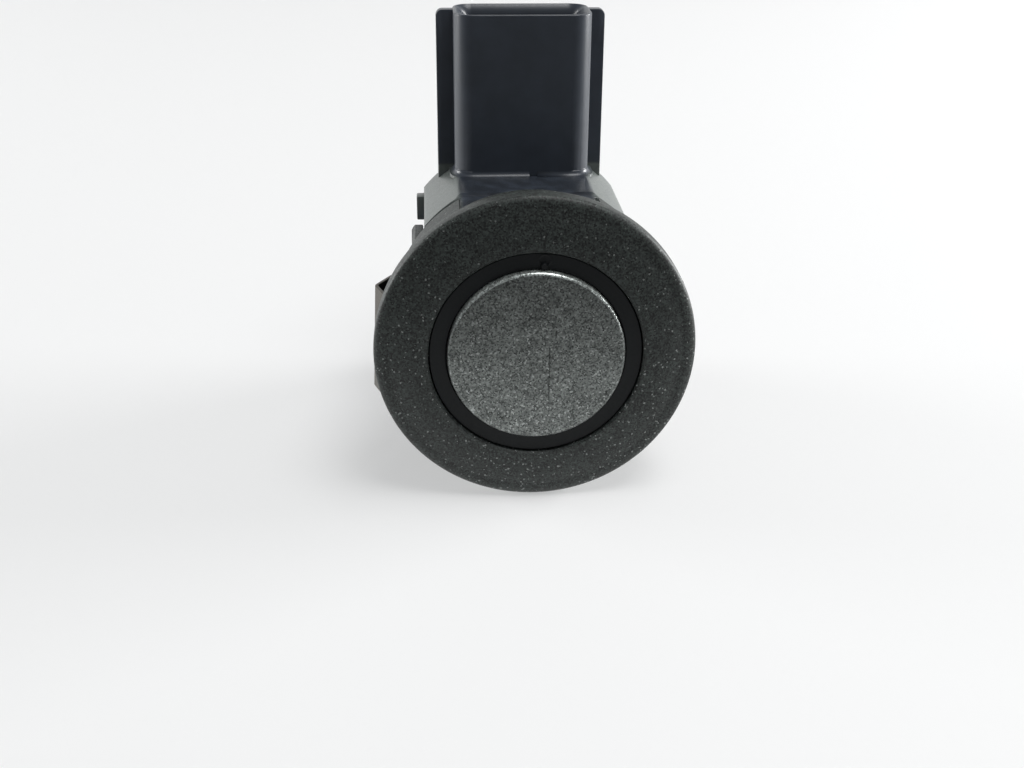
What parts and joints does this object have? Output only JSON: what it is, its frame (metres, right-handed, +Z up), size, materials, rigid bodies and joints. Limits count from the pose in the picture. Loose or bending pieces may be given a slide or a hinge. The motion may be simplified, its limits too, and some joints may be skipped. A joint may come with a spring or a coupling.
{
  "type": "parking sensor",
  "caption": "Ultrasonic parking sensor: domed painted bezel round a rubber-ringed metal face, short barrel with side leaf springs, and a moulded connector standing up at the rear.",
  "frame": {"origin": "centre of the barrel on the sensor's axis, in the plane where the back of the bezel seats on the bumper", "axes": "+Y from the face back along the sensor's axis, +Z up through the connector, +X to the right of the face as seen from the front"},
  "size_m": [0.028, 0.027, 0.0396],
  "materials": {
    "bezel_paint": "fine metallic paint on moulded plastic",
    "face_paint": "metallic paint on the metal cup",
    "silicone": "matt silicone rubber",
    "black_moulding": "satin glass-filled plastic",
    "spring_steel": "rolled spring strip",
    "piezo": "silvered ceramic",
    "foam": "open foam",
    "natural_moulding": "natural moulded plastic",
    "tinned_wire": "tinned wire",
    "board": "solder-masked glass laminate",
    "ferrite": "ground ferrite",
    "copper_wire": "enamelled copper",
    "chip_moulding": "moulded epoxy with tinned legs",
    "capacitor_moulding": "moulded epoxy",
    "chip_ceramic": "fired ceramic",
    "terminal_plating": "tin plated",
    "potting": "poured compound"
  },
  "bodies": {
    "root": {"bezel_retainer": "bezel_paint", "spring_left": "spring_steel", "spring_right": "spring_steel", "housing": "black_moulding", "decoupling_ring": "silicone", "membrane_cup": "face_paint", "piezo_disc": "piezo", "absorber_pad": "foam", "lead_holder": "natural_moulding", "lead_wire_left": "tinned_wire", "lead_wire_right": "tinned_wire", "circuit_board": "board", "transformer_base": "natural_moulding", "transformer_core": "ferrite", "transformer_winding": "copper_wire", "control_chip": "chip_moulding", "storage_capacitor": "capacitor_moulding", "ceramic_capacitors": "chip_ceramic", "chip_resistors": "chip_ceramic", "terminal_1": "terminal_plating", "terminal_2": "terminal_plating", "terminal_3": "terminal_plating", "terminal_4": "terminal_plating", "potting": "potting"}
  },
  "joints": []
}
